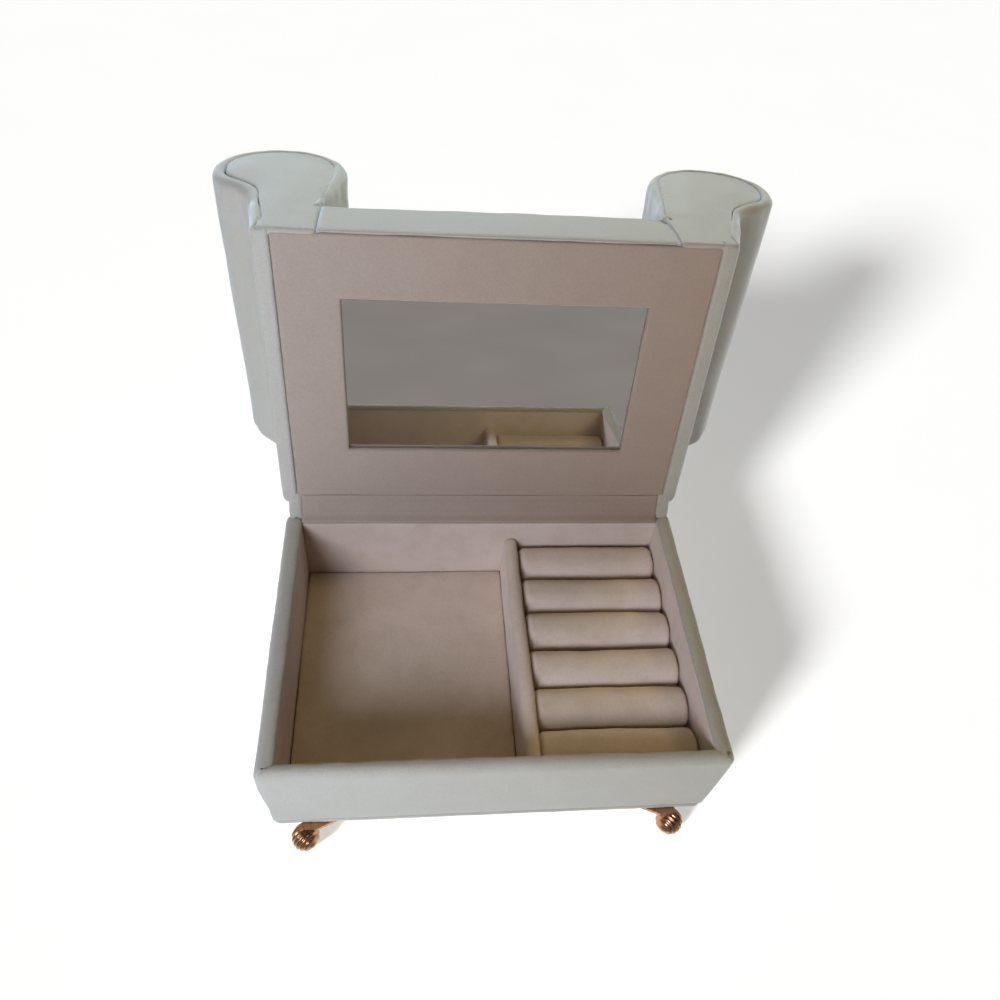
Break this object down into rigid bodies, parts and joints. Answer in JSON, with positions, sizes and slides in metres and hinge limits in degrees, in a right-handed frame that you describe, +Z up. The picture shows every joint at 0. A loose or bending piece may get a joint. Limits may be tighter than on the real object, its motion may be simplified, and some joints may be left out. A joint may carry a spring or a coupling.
{
  "type": "padded jewellery box with mirror",
  "caption": "Velvet jewellery box shaped like a small rolled-arm bench, with a hinged lid, a mirror, an open tray and ring pads, on ribbed metal feet.",
  "frame": {"origin": "centre of the flat underside of the case, between its feet", "axes": "+X along the length of the case, towards the ring pads; +Y towards the hinge; +Z up, away from the underside"},
  "size_m": [0.2238, 0.2179, 0.1691],
  "materials": {
    "velvet": "short-pile velvet over thin foam",
    "velvet_cushion": "short-pile velvet over foam",
    "lining": "brushed microsuede over card",
    "ring_foam": "brushed microsuede over foam",
    "board": "raw fibreboard",
    "card": "grey card",
    "paper": "matt backing paper",
    "rose_gold": "polished, rose gold plated",
    "mirror_glass": "silvered glass"
  },
  "bodies": {
    "case": {"base_board": "board", "base_cover": "velvet", "base_paper": "paper", "wall_front": "board", "wall_back": "board", "wall_left": "board", "wall_right": "board", "case_cover": "velvet", "lining_front": "lining", "lining_back": "lining", "lining_left": "lining", "lining_right": "lining", "floor_pad": "lining", "divider": "lining", "ring_card": "card", "ring_pad_1": "ring_foam", "ring_pad_2": "ring_foam", "ring_pad_3": "ring_foam", "ring_pad_4": "ring_foam", "ring_pad_5": "ring_foam", "ring_pad_6": "ring_foam", "foot_front_left": "rose_gold", "foot_front_right": "rose_gold", "foot_back_left": "rose_gold", "foot_back_right": "rose_gold", "foot_screws": "rose_gold", "hinge_strip": "lining", "hinge_case_left": "rose_gold", "hinge_case_right": "rose_gold", "hinge_case_screws": "rose_gold", "hinge_pin_left": "rose_gold", "hinge_pin_right": "rose_gold"},
    "lid": {"hinge_lid_left": "rose_gold", "hinge_lid_right": "rose_gold", "hinge_lid_screws": "rose_gold", "lid_rail_front": "board", "lid_rail_back": "board", "lid_rail_left": "board", "lid_rail_right": "board", "lid_deck": "card", "lid_front_cover": "velvet", "lid_back_cover": "velvet", "seat_cushion": "velvet_cushion", "lid_lining": "lining", "mirror": "mirror_glass", "mirror_card": "card", "arm_core_left": "card", "arm_core_right": "card", "arm_cover_left": "velvet", "arm_cover_right": "velvet", "arm_front_left": "velvet", "arm_front_right": "velvet", "arm_back_left": "velvet", "arm_back_right": "velvet"}
  },
  "joints": [
    {"name": "lid_hinge", "type": "hinge", "parent": "case", "child": "lid", "pos_m": [0, 0.0575, 0.0436], "axis": [1, 0, 0], "range_deg": [0, 99.6], "deforming": ["hinge_strip"]}
  ]
}
